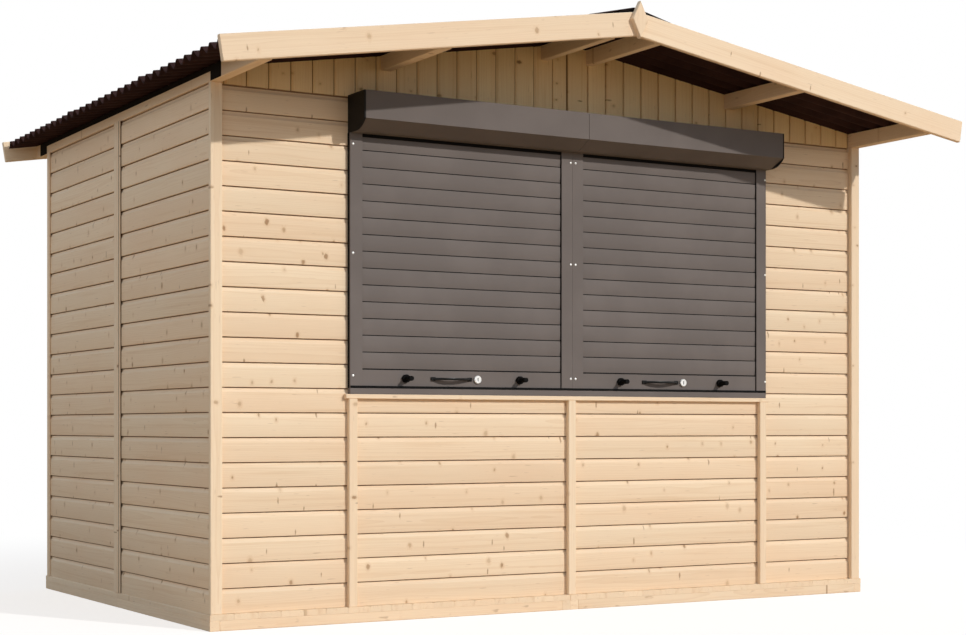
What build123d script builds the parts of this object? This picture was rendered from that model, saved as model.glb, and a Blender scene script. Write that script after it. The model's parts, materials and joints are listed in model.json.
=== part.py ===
"""Panel-built wooden garden shed with a serving front.

Spruce wall panels stand on a timber floor, six purlins carry corrugated
bitumen sheets, and the front has two windows closed by roller shutters.
Millimetres. X runs to the right, Y to the back and Z up. The origin is the
middle of the floor's underside, on the ground.
"""

from build123d import *
import os
from math import asin, atan2, cos, radians, sin, tan

os.makedirs("parts", exist_ok=True)

# Shed body, over the strips that cover its corners
wall_width = 2970
wall_depth = 1923
wall_height = 1850

# Wall panels: boards nailed to a frame
board_thickness = 16
stud_depth = 28
stud_width = 42
stud_spacing = 480
strip_thickness = 20
corner_strip_width = 44
batten_width = 34
side_strip_width = 34
side_strip_thickness = 6
side_joint = 12
panel_gap = 1
cut_past = 1

# Floor of two by two modules
joist_width = 37
joist_height = 37
deck_thickness = 21
floor_lip = 4

# Roof
roof_pitch = 9.1
purlin_width = 42
purlin_height = 60
ridge_purlin_width = 32
mid_purlin_from_middle = 771
ridge_purlin_from_middle = 88
front_overhang = 455
back_overhang = 155
eave_overhang = 125
sheet_clearance = 0.3
notch_clearance = 0.5
gable_clearance = 1

# Corrugated sheets
corrugation_pitch = 76
corrugation_height = 28
bend_radius = 14
sheet_thickness = 3
sheets_per_slope = 3
sheet_ridge_gap = 12

# Ridge cap
cap_pitch = 13.4
cap_half_width = 200
cap_thickness = 3
cap_bend_radius = 40

# Barge boards and their diamond plates
barge_width = 88
barge_thickness = 20
barge_rise = 32
barge_overhang = 151
diamond_width = 70
diamond_height = 138

# Front windows with roller shutters
front_shift = 12
module_width = 946
shutter_lap = 14
window_post_width = 44
sill_top = 851
sill_height = 22
ledge_height = 17
ledge_lip_overhang = 30
guide_width = 50
guide_depth = 20
guide_slot_width = 12
guide_slot_depth = 34
box_depth = 137
box_height = 137
box_fold_depth = 74
box_fold_height = 36
box_above_wall = 4
end_cap_thickness = 6
end_cap_bulge = 9
slat_count = 14
slat_thickness = 8
slat_bulge = 3
slat_groove = 4
bar_height = 61
bar_thickness = 10
seal_height = 6
seal_thickness = 5
curtain_side_clearance = 4
handle_length = 175
handle_depth = 32
handle_height = 9
handle_thickness = 10
handle_offset = -58
foot_length = 18
foot_height = 14
foot_depth = 5
lock_radius = 15
lock_depth = 8
lock_offset = 54
stop_length = 52
stop_radius = 9
stop_foot_radius = 15
stop_foot_depth = 12
stop_spacing = 492
stop_offset = -6

# Levels and faces worked out from the sizes
floor_top = joist_height + deck_thickness
wall_top = floor_top + wall_height
wall_thickness = board_thickness + stud_depth
side_face = wall_width / 2
strip_face = wall_depth / 2
board_face = strip_face - strip_thickness
inner_side = side_face - wall_thickness
slope = tan(radians(roof_pitch))
ridge_line = wall_top + purlin_height + slope * (side_face - purlin_width)
roof_front = -(strip_face + front_overhang) + barge_thickness
roof_back = strip_face + back_overhang
front_joints = [front_shift - module_width, front_shift, front_shift + module_width]
shutter_width = module_width + shutter_lap
box_bottom = wall_top + box_above_wall - box_height
ledge_top = sill_top - sill_height
ledge_bottom = ledge_top - ledge_height
bar_bottom = sill_top + seal_height
bar_top = bar_bottom + bar_height
curtain_middle = -board_face - guide_depth / 2
box_face = -board_face - box_depth
half_gap = panel_gap / 2


def block(x0, x1, y0, y1, z0, z1):
    """Rectangular piece between two corners."""
    centre = Pos((x0 + x1) / 2, (y0 + y1) / 2, (z0 + z1) / 2)
    return centre * Box(x1 - x0, y1 - y0, z1 - z0)


def prism_along_y(points, y0, y1):
    """Outline in X and Z, run from y0 back to y1."""
    outline = make_face(Polyline(*points, close=True))
    standing = Plane(origin=(0, y1, 0), x_dir=(1, 0, 0), z_dir=(0, -1, 0))
    return extrude(standing * outline, amount=y1 - y0)


def to_left(shape):
    """Mirror image on the left side of the shed."""
    return mirror(shape, about=Plane.YZ)


def to_back(shape):
    """Mirror image at the back of the shed."""
    return mirror(shape, about=Plane.XZ)


def front_panel(x0, x1, height):
    """Place, length and height of a panel in the front wall."""
    return Pos(x0, -board_face, floor_top), x1 - x0, height


def back_panel(x0, x1):
    """Place, length and height of a panel in the back wall."""
    return Pos(x1, board_face, floor_top) * Rot(0, 0, 180), x1 - x0, wall_height


def right_panel(y0, y1):
    """Place, length and height of a panel in the right-hand wall."""
    return Pos(side_face, y0, floor_top) * Rot(0, 0, 90), y1 - y0, wall_height


def panel_boards(panel):
    """Boarding of a panel, its outer face towards -Y before it is placed."""
    place, length, height = panel
    return place * block(0, length, 0, board_thickness, 0, height)


def stud_starts(length):
    """Where the studs of a panel start, evenly spaced from end to end."""
    bays = max(1, round(length / stud_spacing))
    return [(length - stud_width) * i / bays for i in range(bays + 1)]


def panel_studs(panel):
    """Studs behind the boards, as high as the panel."""
    place, length, height = panel
    starts = stud_starts(length)
    return [place * block(x, x + stud_width, board_thickness, wall_thickness, 0, height) for x in starts]


def panel_rails(panel):
    """Rails between the studs, at the foot, halfway up and at the top."""
    place, length, height = panel
    starts = stud_starts(length)
    rails = []
    for x0, x1 in zip(starts, starts[1:]):
        for z in (0, (height - stud_width) / 2, height - stud_width):
            rail = block(x0 + stud_width, x1, board_thickness, wall_thickness, z, z + stud_width)
            rails.append(place * rail)
    return rails


def roof_height(x):
    """Height of the purlins' top line over a point of the floor."""
    return ridge_line - slope * abs(x)


def roof_point(along, above):
    """Point on the right slope: distance down the slope from the ridge, height above the purlins."""
    a = radians(roof_pitch)
    return (along * cos(a) + above * sin(a), ridge_line - along * sin(a) + above * cos(a))


# Floor
def floor_modules(start):
    """Left, right, front and back edge of the floor's modules, from x = start to the right side."""
    x = side_face + floor_lip
    y = strip_face + floor_lip
    spans = [(-y, side_joint - half_gap), (side_joint + half_gap, y)]
    return [(start, x, y0, y1) for y0, y1 in spans]


def floor_joists():
    """Side joists of the two right-hand modules, and one joist between their rims."""
    joists = []
    for x0, x1, y0, y1 in floor_modules(0):
        middle = (x0 + x1) / 2
        joists.append(block(x0, x0 + joist_width, y0, y1, 0, joist_height))
        joists.append(block(x1 - joist_width, x1, y0, y1, 0, joist_height))
        half = joist_width / 2
        inner = block(middle - half, middle + half, y0 + joist_width, y1 - joist_width, 0, joist_height)
        joists.append(inner)
    return joists


def floor_rims():
    """Front and back rim of each module, between its side joists."""
    rims = []
    for x0, x1, y0, y1 in floor_modules(0):
        for start in (y0, y1 - joist_width):
            rim = block(x0 + joist_width, x1 - joist_width, start, start + joist_width, 0, joist_height)
            rims += [rim, to_left(rim)]
    return rims


def floor_deck():
    """Boarded top of each module."""
    right = [block(*edges, joist_height, floor_top) for edges in floor_modules(half_gap)]
    return right + [to_left(deck) for deck in right]


# Front wall
def window_span(joint):
    """Clear width of the window between a joint of the front wall and the next."""
    return joint + window_post_width, joint + module_width - window_post_width


def window_posts():
    """Posts beside and between the two windows."""
    sides = [(front_joints[0], front_joints[0] + window_post_width)]
    sides.append((front_joints[1] - window_post_width, front_joints[1] + window_post_width))
    sides.append((front_joints[2] - window_post_width, front_joints[2]))
    inner = -board_face + wall_thickness
    return [block(x0, x1, -board_face, inner, sill_top, wall_top) for x0, x1 in sides]


def window_lintels():
    """Boarded rail over each window, behind the shutter boxes."""
    lintels = []
    for joint in front_joints[:2]:
        x0, x1 = window_span(joint)
        inner = -board_face + wall_thickness
        lintels.append(block(x0, x1, -board_face, inner, box_bottom, wall_top))
    return lintels


def window_ledge():
    """Wooden ledge that caps the breast panels and stands out over the battens."""
    inner = -board_face + wall_thickness
    ledge = block(front_joints[0], front_joints[2], -board_face, inner, ledge_bottom, ledge_top)
    x0 = front_joints[0] - ledge_lip_overhang
    x1 = front_joints[2] + ledge_lip_overhang
    return ledge + block(x0, x1, -strip_face, -board_face, ledge_bottom, ledge_top)


def window_sill():
    """Metal sill on the ledge, under the guides, posts and shutters."""
    lip_start = front_shift - shutter_width
    lip_end = front_shift + shutter_width
    inner = -board_face + wall_thickness
    sill = block(front_joints[0], front_joints[2], -board_face, inner, ledge_top, sill_top)
    return sill + block(lip_start, lip_end, -strip_face, -board_face, ledge_top, sill_top)


# Strips over the joints
def corner_strips():
    """Strips over the ends of the side walls, at the four corners."""
    x0 = side_face - corner_strip_width
    right_front = block(x0, side_face, -strip_face, -board_face, floor_top, wall_top)
    fronts = [right_front, to_left(right_front)]
    return fronts + [to_back(strip) for strip in fronts]


def cover_battens():
    """Battens over the joints of the front wall, under the windows, and of the back wall."""
    half = batten_width / 2
    battens = []
    for joint in front_joints:
        x0, x1 = joint - half, joint + half
        battens.append(block(x0, x1, -strip_face, -board_face, floor_top, ledge_bottom))
    battens.append(block(-half, half, board_face, strip_face, floor_top, wall_top))
    return battens


def side_strips():
    """Strips beside the joint and along the back edge of each side wall."""
    starts = [side_joint - half_gap - side_strip_width, side_joint + half_gap]
    starts.append(board_face - side_strip_width)
    outer = side_face + side_strip_thickness
    right = [block(side_face, outer, y, y + side_strip_width, floor_top, wall_top) for y in starts]
    return right + [to_left(strip) for strip in right]


# Gables
def gable():
    """Boarding of the front gable in two halves, notched over the purlins that pass through it."""
    x_end = side_face - purlin_width
    top = [(x_end, roof_height(x_end) - gable_clearance), (half_gap, roof_height(half_gap) - gable_clearance)]
    outline = [(half_gap, wall_top), (x_end, wall_top)] + top
    right = prism_along_y(outline, -board_face, -board_face + board_thickness)
    for start, width in ((mid_purlin_from_middle, purlin_width), (ridge_purlin_from_middle, ridge_purlin_width)):
        seat = roof_height(start) - purlin_height
        x0 = start - notch_clearance
        x1 = start + width + notch_clearance
        notch_front = -board_face - cut_past
        notch_back = -board_face + board_thickness + cut_past
        right -= block(x0, x1, notch_front, notch_back, seat, ridge_line + cut_past)
    return [right, to_left(right)]


def gable_rails():
    """Rails behind the foot of the front gable's boards, on the front wall."""
    outer = -board_face + board_thickness
    inner = -board_face + wall_thickness
    right = block(half_gap, side_face - purlin_width, outer, inner, wall_top, wall_top + stud_width)
    return [right, to_left(right)]


# Roof timbers
def purlin_pair(start, width):
    """Purlin on each slope, its top planed to the roof's pitch."""
    end = start + width
    seat = roof_height(start) - purlin_height
    outline = [(start, seat), (end, seat), (end, roof_height(end)), (start, roof_height(start))]
    right = prism_along_y(outline, roof_front, roof_back)
    return [right, to_left(right)]


def barge_board():
    """Front right barge board, cut plumb at the ridge and square at the eave."""
    bottom = barge_rise - barge_width
    a = radians(roof_pitch)
    end = (side_face + barge_overhang - barge_rise * sin(a)) / cos(a)
    outline = [
        (half_gap, roof_height(half_gap) + barge_rise / cos(a)),
        roof_point(end, barge_rise),
        roof_point(end, bottom),
        (half_gap, roof_height(half_gap) + bottom / cos(a)),
    ]
    return prism_along_y(outline, roof_front - barge_thickness, roof_front)


def diamond_plate(y0, y1):
    """Diamond that covers the joint of two barge boards."""
    across = diamond_width / 2
    up = diamond_height / 2
    corners = [
        (0, ridge_line - up),
        (across, ridge_line),
        (0, ridge_line + up),
        (-across, ridge_line),
    ]
    return prism_along_y(corners, y0, y1)


# Roof covering
corrugations = int((roof_back - roof_front) // corrugation_pitch)
sheet_corrugations = corrugations // sheets_per_slope
wave_start = (roof_front + roof_back - corrugations * corrugation_pitch) / 2


def bend_centre(i, raised):
    """Centre of a bend of the sheets, in a section along the eave: even bends are valleys, odd ones crests."""
    valley = sheet_clearance + sheet_thickness / 2 + raised
    crest = valley + corrugation_height - sheet_thickness
    z = crest - bend_radius if i % 2 else valley + bend_radius
    return Vector(i * corrugation_pitch / 2, z)


def flank_angle(centre, following, rises):
    """Angle of the straight flank between one bend and the next."""
    way = following - centre
    turn = asin(2 * bend_radius / way.length)
    return atan2(way.Y, way.X) + (turn if rises else -turn)


lap_flank = flank_angle(bend_centre(0, 0), bend_centre(1, 0), True)
lap_lift = (sheet_thickness + sheet_clearance) / cos(lap_flank)


def sheet_face(first, centres, side):
    """Lower face (side -1) or upper face (side 1) of a sheet: arcs round its bends, joined by flanks."""
    rising = [(first + n) % 2 == 0 for n in range(len(centres) - 1)]
    angles = [flank_angle(a, b, up) for a, b, up in zip(centres, centres[1:], rising)]
    edges = []
    for n, centre in enumerate(centres):
        outward = 1 if (first + n) % 2 else -1
        reach = outward * bend_radius + side * sheet_thickness / 2
        before = angles[n - 1] if n > 0 else 0
        after = angles[n] if n < len(angles) else 0
        turns = (before, (before + after) / 2, after)
        start, middle, end = [centre + Vector(-sin(t), cos(t)) * reach for t in turns]
        if edges:
            edges.append(Line(edges[-1] @ 1, start))
        edges.append(ThreePointArc(start, middle, end))
    return edges


def roof_sheet(index):
    """Right-hand corrugated sheet, counted from the front; each laps the one before by a corrugation."""
    seat = 2 * index * sheet_corrugations
    last = 2 * corrugations if index == sheets_per_slope - 1 else seat + 2 * sheet_corrugations
    first = seat - 2 if index else 0
    lapping = seat if index else -1
    centres = [bend_centre(i, lap_lift if i <= lapping else 0) for i in range(first, last + 1)]
    lower = sheet_face(first, centres, -1)
    upper = sheet_face(first, centres, 1)
    ends = [Line(lower[0] @ 0, upper[0] @ 0), Line(lower[-1] @ 1, upper[-1] @ 1)]
    outline = make_face(lower + upper + ends)
    a = radians(roof_pitch)
    top = sheet_ridge_gap / cos(a)
    end_run = (side_face + eave_overhang) / cos(a)
    x, z = roof_point(top, 0)
    down = Plane(origin=(x, wave_start, z), x_dir=(0, 1, 0), z_dir=(cos(a), 0, -sin(a)))
    return extrude(down * outline, amount=end_run - top)


def ridge_cap():
    """Folded cap whose edges lie on the crests, a little steeper than the roof."""
    a = radians(roof_pitch)
    crest = sheet_clearance + corrugation_height + lap_lift + sheet_clearance
    run = (cap_half_width - crest * sin(a)) / cos(a)
    x, z = roof_point(run, crest)
    apex = z + x * tan(radians(cap_pitch))
    thick = cap_thickness / cos(radians(cap_pitch))
    lower = FilletPolyline((-x, z), (0, apex), (x, z), radius=cap_bend_radius)
    upper = FilletPolyline((x, z + thick), (0, apex + thick), (-x, z + thick), radius=cap_bend_radius + cap_thickness)
    outline = make_face([lower, Line((x, z), (x, z + thick)), upper, Line((-x, z + thick), (-x, z))])
    standing = Plane(origin=(0, roof_back, 0), x_dir=(1, 0, 0), z_dir=(0, -1, 0))
    return extrude(standing * outline, amount=roof_back - roof_front)


# Roller shutters
def box_section(x0, x1, bulge):
    """Stretch of the shutter box, folded back at the front below, its fold flat or bulging out."""
    fold_start = Vector(box_face + box_fold_depth, box_bottom)
    fold_end = Vector(box_face, box_bottom + box_fold_height)
    straight = Polyline(
        fold_end,
        (box_face, box_bottom + box_height),
        (-board_face, box_bottom + box_height),
        (-board_face, box_bottom),
        fold_start,
    )
    out = Vector(-box_fold_height, -box_fold_depth).normalized() * bulge
    middle = (fold_start + fold_end) / 2 + out
    fold = ThreePointArc(fold_start, middle, fold_end) if bulge else Line(fold_start, fold_end)
    across = Plane(origin=(x0, 0, 0), x_dir=(0, 1, 0), z_dir=(1, 0, 0))
    return extrude(across * make_face([straight, fold]), amount=x1 - x0)


def shutter_boxes():
    """Closed boxes for the rolled-up shutters, which meet over the middle guides."""
    left = box_section(front_shift - shutter_width + end_cap_thickness, front_shift - half_gap, 0)
    right = box_section(front_shift + half_gap, front_shift + shutter_width - end_cap_thickness, 0)
    return left, right


def end_caps():
    """Rounded caps on the outer ends of the two boxes."""
    x0 = front_shift - shutter_width
    x1 = front_shift + shutter_width
    left = box_section(x0, x0 + end_cap_thickness, end_cap_bulge)
    right = box_section(x1 - end_cap_thickness, x1, end_cap_bulge)
    return [left, right]


def guide(x0, opens_right):
    """Guide rail beside a shutter, with the slot in which the slats run."""
    rail = block(x0, x0 + guide_width, -strip_face, -strip_face + guide_depth, sill_top, box_bottom)
    slot_front = curtain_middle - guide_slot_width / 2
    slot_back = curtain_middle + guide_slot_width / 2
    slot_start = x0 + guide_width - guide_slot_depth if opens_right else x0 - cut_past
    slot_end = x0 + guide_width + cut_past if opens_right else x0 + guide_slot_depth
    return rail - block(slot_start, slot_end, slot_front, slot_back, sill_top - cut_past, box_bottom + cut_past)


def shutter_guides(x0):
    """Guides at both sides of the shutter that starts at x0."""
    return [guide(x0, True), guide(x0 + shutter_width - guide_width, False)]


def curtain_span(x0):
    """Ends of the slats inside the two slots of the shutter that starts at x0."""
    inset = guide_width - guide_slot_depth + curtain_side_clearance
    return x0 + inset, x0 + shutter_width - inset


def shutter_curtain(x0):
    """Slats with a rounded face and a groove at each joint, from the bottom bar up to the box."""
    front = curtain_middle - slat_thickness / 2
    back = curtain_middle + slat_thickness / 2
    pitch = (box_bottom - bar_top) / slat_count
    half_groove = slat_groove / 2
    edges = []
    corner = (front, bar_top)
    for i in range(slat_count):
        low = bar_top + i * pitch + half_groove
        high = bar_top + (i + 1) * pitch - half_groove
        middle = (low + high) / 2
        step = (front + slat_bulge, low)
        edges.append(Line(corner, step))
        edges.append(ThreePointArc(step, (front, middle), (front + slat_bulge, high)))
        corner = (front + slat_bulge, high)
        if i < slat_count - 1:
            inner_low = (front + slat_bulge + half_groove, high)
            inner_high = (front + slat_bulge + half_groove, high + slat_groove)
            edges.append(Line(corner, inner_low))
            edges.append(Line(inner_low, inner_high))
            corner = inner_high
    edges.append(Line(corner, (front + slat_bulge, box_bottom)))
    edges.append(Line((front + slat_bulge, box_bottom), (back, box_bottom)))
    edges.append(Line((back, box_bottom), (back, bar_top)))
    edges.append(Line((back, bar_top), (front, bar_top)))
    start, end = curtain_span(x0)
    across = Plane(origin=(start, 0, 0), x_dir=(0, 1, 0), z_dir=(1, 0, 0))
    return extrude(across * make_face(edges), amount=end - start)


def bottom_bar(x0):
    """Bar that closes the curtain, with the seal that meets the sill."""
    start, end = curtain_span(x0)
    front = curtain_middle - bar_thickness / 2
    back = curtain_middle + bar_thickness / 2
    seal_front = curtain_middle - seal_thickness / 2
    seal_back = curtain_middle + seal_thickness / 2
    bar = block(start, end, front, back, bar_bottom, bar_top)
    return bar + block(start, end, seal_front, seal_back, sill_top, bar_bottom)


def shutter_middle(x0):
    """Middle of the shutter that starts at x0."""
    return x0 + shutter_width / 2


def pull_handle(x0):
    """Bow handle that stands out level from two feet on the bottom bar."""
    face = curtain_middle - bar_thickness / 2
    middle = shutter_middle(x0) + handle_offset
    z = (bar_bottom + bar_top) / 2
    half = handle_length / 2
    inner = half - handle_thickness
    outline = [
        ThreePointArc((middle - half, face), (middle, face - handle_depth), (middle + half, face)),
        Line((middle + half, face), (middle + inner, face)),
        ThreePointArc(
            (middle + inner, face),
            (middle, face - handle_depth + handle_thickness),
            (middle - inner, face),
        ),
        Line((middle - inner, face), (middle - half, face)),
    ]
    handle = extrude(Pos(0, 0, z - handle_height / 2) * make_face(outline), amount=handle_height)
    for start in (middle - half, middle + half - foot_length):
        low = z - foot_height / 2
        handle += block(start, start + foot_length, face - foot_depth, face, low, low + foot_height)
    return handle


def lock(x0):
    """Cylinder lock in the bottom bar."""
    face = curtain_middle - bar_thickness / 2
    z = (bar_bottom + bar_top) / 2
    at = Pos(shutter_middle(x0) + lock_offset, face - lock_depth / 2, z)
    return at * Rot(90, 0, 0) * Cylinder(lock_radius, lock_depth)


def stops(x0):
    """Two stops on the bottom bar, each on a wider foot, which meet the box when the shutter is up."""
    face = curtain_middle - bar_thickness / 2
    z = (bar_bottom + bar_top) / 2
    middle = shutter_middle(x0) + stop_offset
    pin = Pos(0, -stop_length / 2, 0) * Rot(90, 0, 0) * Cylinder(stop_radius, stop_length)
    foot = Pos(0, -stop_foot_depth / 2, 0) * Rot(90, 0, 0) * Cylinder(stop_foot_radius, stop_foot_depth)
    stop = pin + foot
    return [Pos(x, face, z) * stop for x in (middle - stop_spacing / 2, middle + stop_spacing / 2)]


left_start = front_shift - shutter_width
right_start = front_shift
starts = (left_start, right_start)
panel_end = inner_side - half_gap
breast_height = ledge_bottom - floor_top
panels = {
    "front_panel_left": [front_panel(-panel_end, front_joints[0] - half_gap, wall_height)],
    "front_panel_right": [front_panel(front_joints[2] + half_gap, panel_end, wall_height)],
    "front_breasts": [
        front_panel(front_joints[0] + half_gap, front_joints[1] - half_gap, breast_height),
        front_panel(front_joints[1] + half_gap, front_joints[2] - half_gap, breast_height),
    ],
    "right_wall": [
        right_panel(-board_face, side_joint - half_gap),
        right_panel(side_joint + half_gap, board_face),
    ],
    "back_wall": [back_panel(-panel_end, -half_gap), back_panel(half_gap, panel_end)],
}
boards = {name: [panel_boards(panel) for panel in group] for name, group in panels.items()}
studs = {name: sum([panel_studs(panel) for panel in group], []) for name, group in panels.items()}
rails = {name: sum([panel_rails(panel) for panel in group], []) for name, group in panels.items()}
for wall in (boards, studs, rails):
    wall["left_wall"] = [to_left(piece) for piece in wall["right_wall"]]

right_joists = floor_joists()
right_barge = barge_board()
barge_boards = [right_barge, to_left(right_barge)]
back_shift = roof_back - roof_front + barge_thickness
purlins = purlin_pair(mid_purlin_from_middle, purlin_width)
purlins += purlin_pair(ridge_purlin_from_middle, ridge_purlin_width)
front_diamond = diamond_plate(roof_front - 2 * barge_thickness, roof_front - barge_thickness)
back_diamond = diamond_plate(roof_back + barge_thickness, roof_back + 2 * barge_thickness)
front_gable = gable()
front_rails = gable_rails()
boxes = shutter_boxes()

nodes = {
    **boards,
    "wall_studs": sum(studs.values(), []),
    "wall_rails": sum(rails.values(), []),
    "floor_joists_left": [to_left(joist) for joist in right_joists],
    "floor_joists_right": right_joists,
    "floor_rims": floor_rims(),
    "floor_deck": floor_deck(),
    "window_posts": window_posts(),
    "window_lintels": window_lintels(),
    "window_ledge": window_ledge(),
    "window_sill": window_sill(),
    "corner_strips": corner_strips(),
    "cover_battens": cover_battens(),
    "side_strips": side_strips(),
    "front_gable": front_gable,
    "back_gable": [to_back(half) for half in front_gable],
    "gable_rails": front_rails + [to_back(rail) for rail in front_rails],
    "eave_purlins": purlin_pair(side_face - purlin_width, purlin_width),
    "roof_purlins": purlins,
    "ridge_cap": ridge_cap(),
    "barge_boards_front": barge_boards,
    "barge_boards_back": [Pos(0, back_shift, 0) * board for board in barge_boards],
    "diamond_plates": [front_diamond, back_diamond],
    "shutter_box_left": boxes[0],
    "shutter_box_right": boxes[1],
    "end_caps": end_caps(),
    "guides_left": shutter_guides(left_start),
    "guides_right": shutter_guides(right_start),
    "shutter_curtains": [shutter_curtain(x) for x in starts],
    "bottom_bars": [bottom_bar(x) for x in starts],
    "pull_handles": [pull_handle(x) for x in starts],
    "shutter_locks": [lock(x) for x in starts],
    "shutter_stops": stops(left_start) + stops(right_start),
}
for index, place in enumerate(("front", "middle", "back")):
    sheet = roof_sheet(index)
    nodes[f"roof_sheet_right_{place}"] = sheet
    nodes[f"roof_sheet_left_{place}"] = to_left(sheet)

for name, shape in nodes.items():
    piece = Compound(children=shape) if isinstance(shape, list) else shape
    export_step(piece, f"parts/{name}.step")
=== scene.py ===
"""Looks of the panel-built garden shed: boards, timbers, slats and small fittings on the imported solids.

Metres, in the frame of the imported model: X to the right along the serving front, Y to the back, Z up.
Every board is a profile run along its grain, so its texture lies in the wood as it does in a real board.
"""

import json
import math
import random

import bpy
import bmesh
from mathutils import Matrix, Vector


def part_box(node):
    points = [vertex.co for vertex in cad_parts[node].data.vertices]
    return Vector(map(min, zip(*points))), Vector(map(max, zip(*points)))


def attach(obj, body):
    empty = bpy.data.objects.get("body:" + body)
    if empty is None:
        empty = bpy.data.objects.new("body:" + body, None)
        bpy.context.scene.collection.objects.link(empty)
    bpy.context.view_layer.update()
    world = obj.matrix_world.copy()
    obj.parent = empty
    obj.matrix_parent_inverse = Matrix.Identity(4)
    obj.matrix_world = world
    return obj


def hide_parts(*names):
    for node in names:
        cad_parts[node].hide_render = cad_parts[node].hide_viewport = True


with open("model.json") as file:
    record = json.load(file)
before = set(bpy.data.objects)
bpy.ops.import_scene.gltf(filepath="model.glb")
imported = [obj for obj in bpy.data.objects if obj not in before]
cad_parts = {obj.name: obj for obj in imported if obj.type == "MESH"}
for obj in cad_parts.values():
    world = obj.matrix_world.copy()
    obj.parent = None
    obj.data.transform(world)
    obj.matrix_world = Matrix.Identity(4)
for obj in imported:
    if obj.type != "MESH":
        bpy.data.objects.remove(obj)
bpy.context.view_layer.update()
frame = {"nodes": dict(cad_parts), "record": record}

# Directions
RIGHT = Vector((1, 0, 0))
BACK = Vector((0, 1, 0))
UP = Vector((0, 0, 1))

# Points nearer to each other than this are one point
SAME_PLACE = 0.00001

# Boards of the walls: they cover 88 mm each, and a cove runs along their upper edge
BOARD_COVER = 0.088
BOARD_THICKNESS = 0.016
BOARD_FLAT = 0.069
BOARD_PLAY = 0.0004
LEAST_BOARD = 0.005
COVE_TOP = 0.0841
COVE_DEPTH = 0.0062
COVE_STEPS = 6
GROOVE_DEPTH = 0.0105
GROOVE_SLANT = 0.0003
LAP = 0.0036
LIP_THICKNESS = 0.0069
LIP_GAP = 0.004
ARRIS = 0.0015
ARRIS_KNEE = 0.3

# Upright boards of the gables, from a first one of its own width on each side of the middle
GABLE_COVER = 0.085
GABLE_COVE = 0.012
GABLE_COVE_DEPTH = 0.003
GABLE_GROOVE = 0.0048
GABLE_MIDDLE = 0.008
GABLE_FIRST_LEFT = 0.069
GABLE_FIRST_RIGHT = 0.100
GABLE_LEAST = 0.01
GABLE_CLEARANCE = 0.0002

# Floor boards: the outermost is a little wider, and the last takes what is left, at most 1.05 covers
DECK_COVER = 0.088
DECK_OUTERMOST = 0.092
DECK_LAST_SHARE = 1.05
DECK_BEVEL = 0.003
DECK_CLEARANCE = 0.0003

# Roof timbers, plates and strips; ends and faces are shares of the arris and of the plate
ROOF_PITCH = math.radians(9.1)
BARGE_WIDTH = 0.088
BARGE_ARRIS = 0.003
BARGE_END = 0.6
PLATE_BEVEL = 0.003
PLATE_FACE = 0.93
STRIP_ARRIS = 0.002
STRIP_END = 0.7
STRIP_SPLIT = 0.36
STRIP_GAP = 0.0055
# Painted shade: dark blocks in the gap between the split strips and beside a strip's front edge, as thick
# from the wall as these fills
STRIP_GAP_FILL = 0.0052
STRIP_SHADE = 0.004
STRIP_SHADE_FILL = 0.001

# Slats, and dark blocks for the hinge line in the gaps between them, which paint the shade there; the
# shoulder is its setback and its distance from the top
SLAT_COUNT = 14
SLAT_GAP = 0.0033
SLAT_CURVE = 0.024
SLAT_STEPS = 8
SLAT_SETBACK = 0.0024
SLAT_SHOULDER = ((0, 0.0016), (0.0004, 0.0005), (0.0012, 0))
SLAT_DEPTH = 0.0062
HINGE_DEPTH = 0.0044
HINGE_HALF = 0.001

# Seals and brushes of the shutters, and black strips of painted shade beside and between their parts
BAR_GAP = 0.0014
SEAL_HEIGHT = 0.0086
SEAL_FORWARD = 0.0012
SEAL_BACKWARD = 0.006
SEAL_INSET = 0.001
# painted shade: thickness and depth of the thin black strips beside the outer guides
SIDE_SHADE_THICKNESS = 0.0008
SIDE_SHADE_DEPTH = 0.0145
BRUSH_HEIGHT = 0.012
BRUSH_FORWARD = 0.0025
GUIDE_GAP = 0.0025
GUIDE_GAP_FORWARD = 0.003

# Rivets and locks: domes are heights and shares of the radius
RIVET_RADIUS = 0.0045
RIVET_DOME = ((0, 1), (0.0006, 1), (0.0014, 0.75), (0.0018, 0.3))
RIVET_HEIGHTS = (0.896, 1.340, 1.735)
RIVET_INSET_LEFT = 0.012
RIVET_INSET_RIGHT = 0.005
RIVET_NEAR_JOINT_LEFT = 0.008
RIVET_NEAR_JOINT_RIGHT = 0.014
LOCK_ARRIS = 0.0015
LOCK_SUNK = 0.0008
LOCK_FACE = 0.62
LOCK_FLOOR = 0.6
LOCK_MIDDLE = 0.1
KEY_SLOT_HALF_WIDTH = 0.0016
KEY_SLOT_HALF_HEIGHT = 0.0068
KEY_SLOT_DEPTH = 0.0002

# Roof sheets
CORRUGATION = 0.076
BAND_HEM = 0.034
BAND_PAST = 0.096
BAND_INSET = 0.001
BAND_BELOW_ROOF = 0.0005
BAND_THICKNESS = 0.0009
FILLER_HALF_WIDTH = 0.07
FILLER_HEIGHT = 0.04
FILLER_THICKNESS = 0.012
FILLER_BELOW_CAP = 0.005
NAIL_RADIUS = 0.009
NAIL_DOME = ((-0.006, 0.9), (0.001, 1), (0.004, 0.8), (0.006, 0.35))

# Edges of the solids that stay as they are
EASED = 0.001
EASED_NODES = (
    "shutter_box_left", "shutter_box_right", "end_caps", "guides_left", "guides_right", "bottom_bars",
    "window_sill", "pull_handles", "shutter_stops",
)

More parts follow.
